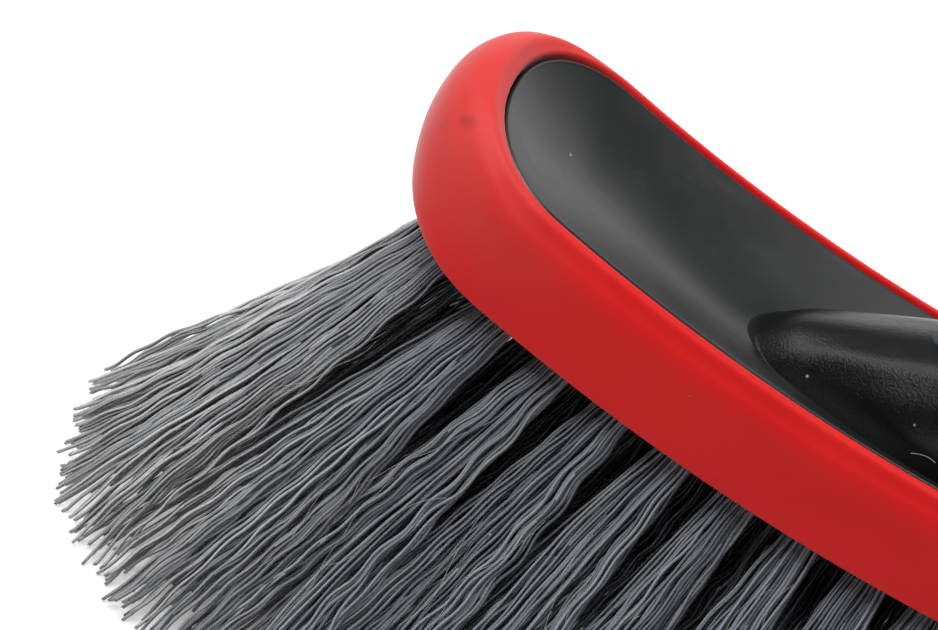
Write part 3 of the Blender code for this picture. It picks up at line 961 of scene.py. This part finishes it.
def crimp(distance, lock, dice, along, across):
    """The fine wave of each filament, nearly in step within a lock."""
    wave = CRIMP_LENGTH * ((1 + dice.normal(0, 0.09, LOCKS))[lock] + dice.normal(0, 0.006, FILAMENTS))
    phase = dice.uniform(0, 2 * pi, LOCKS)[lock] + dice.normal(0, 0.30, FILAMENTS)
    height = CRIMP_HEIGHT * dice.uniform(0.35, 1.45, LOCKS)[lock] * dice.uniform(0.8, 1.2, FILAMENTS)
    lean = (dice.uniform(0, pi, LOCKS)[lock] + dice.normal(0, 0.25, FILAMENTS))[:, None, None]
    swing = np.sin(2 * pi * distance / wave[:, None, None] + phase[:, None, None]) * height[:, None, None]
    return swing * (np.cos(lean) * along + np.sin(lean) * across)


def sway(t, lock, dice, along, across):
    """The slow bend of each filament, which grows towards its tip."""
    bow = dice.normal(0, SWAY, (FILAMENTS, 2)) + dice.normal(0, SWAY, (LOCKS, 2))[lock]
    rate = (dice.uniform(0.7, 1.7, LOCKS)[lock] + dice.normal(0, 0.08, FILAMENTS))[:, None, None]
    start = (dice.random(LOCKS)[lock] + dice.normal(0, 0.05, FILAMENTS))[:, None, None]
    return np.sin(2 * pi * (t * rate + start)) * t * (bow[:, None, :1] * along + bow[:, None, 1:] * across)


def tube_piece(name, path, along, across, radius, mat):
    """Thin tubes of equal count as one mesh, from the points of their middle lines."""
    count, steps, _ = path.shape
    sides = TUBE_SIDES
    spin = np.arange(sides) * 2 * pi / sides
    ring = (np.cos(spin)[:, None] * along + np.sin(spin)[:, None] * across) * radius
    points = (path[:, :, None] + ring).reshape(-1, 3)
    base = np.arange(count)[:, None, None] * steps * sides
    station = np.arange(steps - 1)[None, :, None] * sides
    j = np.arange(sides)[None, None, :]
    i = (j + 1) % sides
    corners = base + station
    quads = np.stack((corners + j, corners + i, corners + sides + i, corners + sides + j), -1).reshape(-1, 4)
    start = (np.arange(count) * steps * sides)[:, None]
    caps = np.vstack((start + (steps - 1) * sides + np.arange(sides), start + np.arange(sides)[::-1]))
    if np.linalg.det(np.stack((along, across, path[0, -1] - path[0, 0]))) < 0:
        quads, caps = quads[:, ::-1], caps[:, ::-1]
    loops = np.concatenate((quads.ravel(), caps.ravel())).astype(np.int32)
    sizes = np.concatenate((np.full(len(quads), 4), np.full(len(caps), sides)))
    mesh = bpy.data.meshes.new(name)
    mesh.vertices.add(len(points))
    mesh.vertices.foreach_set("co", points.ravel())
    mesh.loops.add(len(loops))
    mesh.loops.foreach_set("vertex_index", loops)
    mesh.polygons.add(len(sizes))
    mesh.polygons.foreach_set("loop_start", (np.cumsum(sizes) - sizes).astype(np.int32))
    mesh.update(calc_edges=True)
    mesh.shade_smooth()
    mesh.materials.append(mat)
    piece = bpy.data.objects.new(name, mesh)
    bpy.context.scene.collection.objects.link(piece)
    return piece


def loose_hairs(path, along, across, dice):
    """Fine dust hairs that wander over the outer filaments of a tuft."""
    steps = path.shape[1]
    outer = np.argsort(path[:, steps // 2, 1])[:12]
    hairs = []
    for k in dice.choice(outer, HAIRS):
        start, reach = dice.integers(steps // 5, steps // 2), dice.uniform(0.25, 0.45)
        t = np.linspace(0, 1, HAIR_STEPS)[:, None]
        seen = np.clip(start + t[:, 0] * reach * steps, 0, steps - 1)
        line = np.stack([np.interp(seen, np.arange(steps), path[k, :, j]) for j in range(3)], 1)
        drift = dice.uniform(-0.005, 0.005) * t + 0.0010 * np.sin(t * dice.uniform(3, 9) + dice.uniform(0, 6))
        line += along * drift - across * (0.0005 + 0.0004 * np.sin(5 * t) ** 2)
        line[:, 2] = np.maximum(line[:, 2], 0.0008)
        hairs.append(line)
    return np.array(hairs)


def tuft_pieces(mat, fluff):
    """A tuft of crimped filaments in place of each plain tuft, with dust hairs on the near ones."""
    dice = np.random.default_rng(20)
    for name, x, y, fan, flare in tuft_places():
        mouth, way = tuft_axis(x, y, fan, flare)
        path, along, across = filament_paths(mouth, way, dice)
        piece = tube_piece(f"filaments_{name}", path, along, across, FILAMENT_RADIUS, mat)
        settle(piece, "grey_bristle", f"tuft_{name}")
        if "near" in name:
            hairs = loose_hairs(path, along, across, np.random.default_rng(len(name) + int(1e4 * abs(x))))
            piece = tube_piece(f"hairs_{name}", hairs, along, across, HAIR_RADIUS, fluff)
            settle(piece, "grey_bristle", f"tuft_{name}")


def fibre_piece(fluff):
    """A white fibre that lies on the side of the handle."""
    line = smooth_path(FIBRE, 12)
    piece = tube_piece("fibre", line[None], np.array((0.0, 0, 1)), np.array((0.0, -1, 0)), FIBRE_RADIUS, fluff)
    settle(piece, "grey_bristle")


# ---- scene

def settle(piece, slot, *nodes):
    """Carry a piece on the brush and hide the solids that it takes the place of."""
    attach(piece, "root")
    if nodes:
        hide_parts(*nodes)


def camera():
    """The photograph's view."""
    turn, dip, roll = CAMERA_TURN, CAMERA_DIP, CAMERA_ROLL
    look = Vector((sin(turn) * cos(dip), cos(turn) * cos(dip), -sin(dip)))
    level = Vector((cos(turn), -sin(turn), 0.0))
    rise = level.cross(look)
    right = cos(roll) * level + sin(roll) * rise
    top = cos(roll) * rise - sin(roll) * level
    data = bpy.data.cameras.new("camera")
    data.sensor_width = CAMERA_SENSOR
    data.lens = CAMERA_LENS
    data.clip_start = 0.01
    data.clip_end = 20.0
    item = bpy.data.objects.new("camera", data)
    axes = Matrix((right, top, -look)).transposed().to_4x4()
    item.matrix_world = Matrix.Translation(CAMERA_PLACE) @ axes
    bpy.context.scene.collection.objects.link(item)
    bpy.context.scene.camera = item


def lamp(name, place, aim, size, power):
    """A soft square lamp."""
    data = bpy.data.lights.new(name, "AREA")
    data.shape = "RECTANGLE"
    data.size, data.size_y = size
    data.energy = power
    item = bpy.data.objects.new(name, data)
    item.location = place
    item.rotation_euler = (Vector(aim) - Vector(place)).to_track_quat("-Z", "Y").to_euler()
    bpy.context.scene.collection.objects.link(item)


def surroundings():
    """White all round for the camera, and a studio that is brighter behind than in front."""
    world = bpy.data.worlds.new("studio")
    bpy.context.scene.world = world
    world.use_nodes = True
    paint = Paint(world.node_tree)
    side, back, up = paint.parts(paint.add("ShaderNodeTexCoord", output="Generated"))
    cove = back.ease(-0.1, 0.5) * side.ease(0.82, 0.42) * (up - side * 0.36).ease(0.60, 0.22)
    room = back.ease(-0.6, 0.3, 0.03, 0.27)
    tone = paint.blend(cove, paint.blend(room, (0.0, 0.0, 0.0), (0.98, 1.0, 1.0)), (1.90, 1.90, 1.90))
    seen = paint.add("ShaderNodeLightPath", output="Is Camera Ray")
    ground = world.node_tree.nodes["Background"].inputs
    paint.feed(ground["Color"], paint.blend(seen, tone, (1.0, 1.0, 1.0)))
    paint.feed(ground["Strength"], 1.0)


def table(mat):
    """The pale table under the brush."""
    half = TABLE_HALF
    corners = [(-half, -half, 0), (half, -half, 0), (half, half, 0), (-half, half, 0)]
    new_piece("table", corners, [(0, 1, 2, 3)], mat)


def main():
    bpy.context.scene.view_settings.view_transform = "Standard"
    camera()
    surroundings()
    for name, setting in LAMPS.items():
        lamp(name, *setting)

    settle(head_piece(satin_black(), grained_black()), "black_plastic", "brush_body")
    settle(ring_piece(red_rubber()), "red_soft_rubber", "bumper")
    settle(inlay_piece(inlay_rubber()), "dark_soft_rubber", "grip_inlay")
    fluff = pale_fluff()
    tuft_pieces(grey_filament(), fluff)
    fibre_piece(fluff)
    table(white_table())


main()
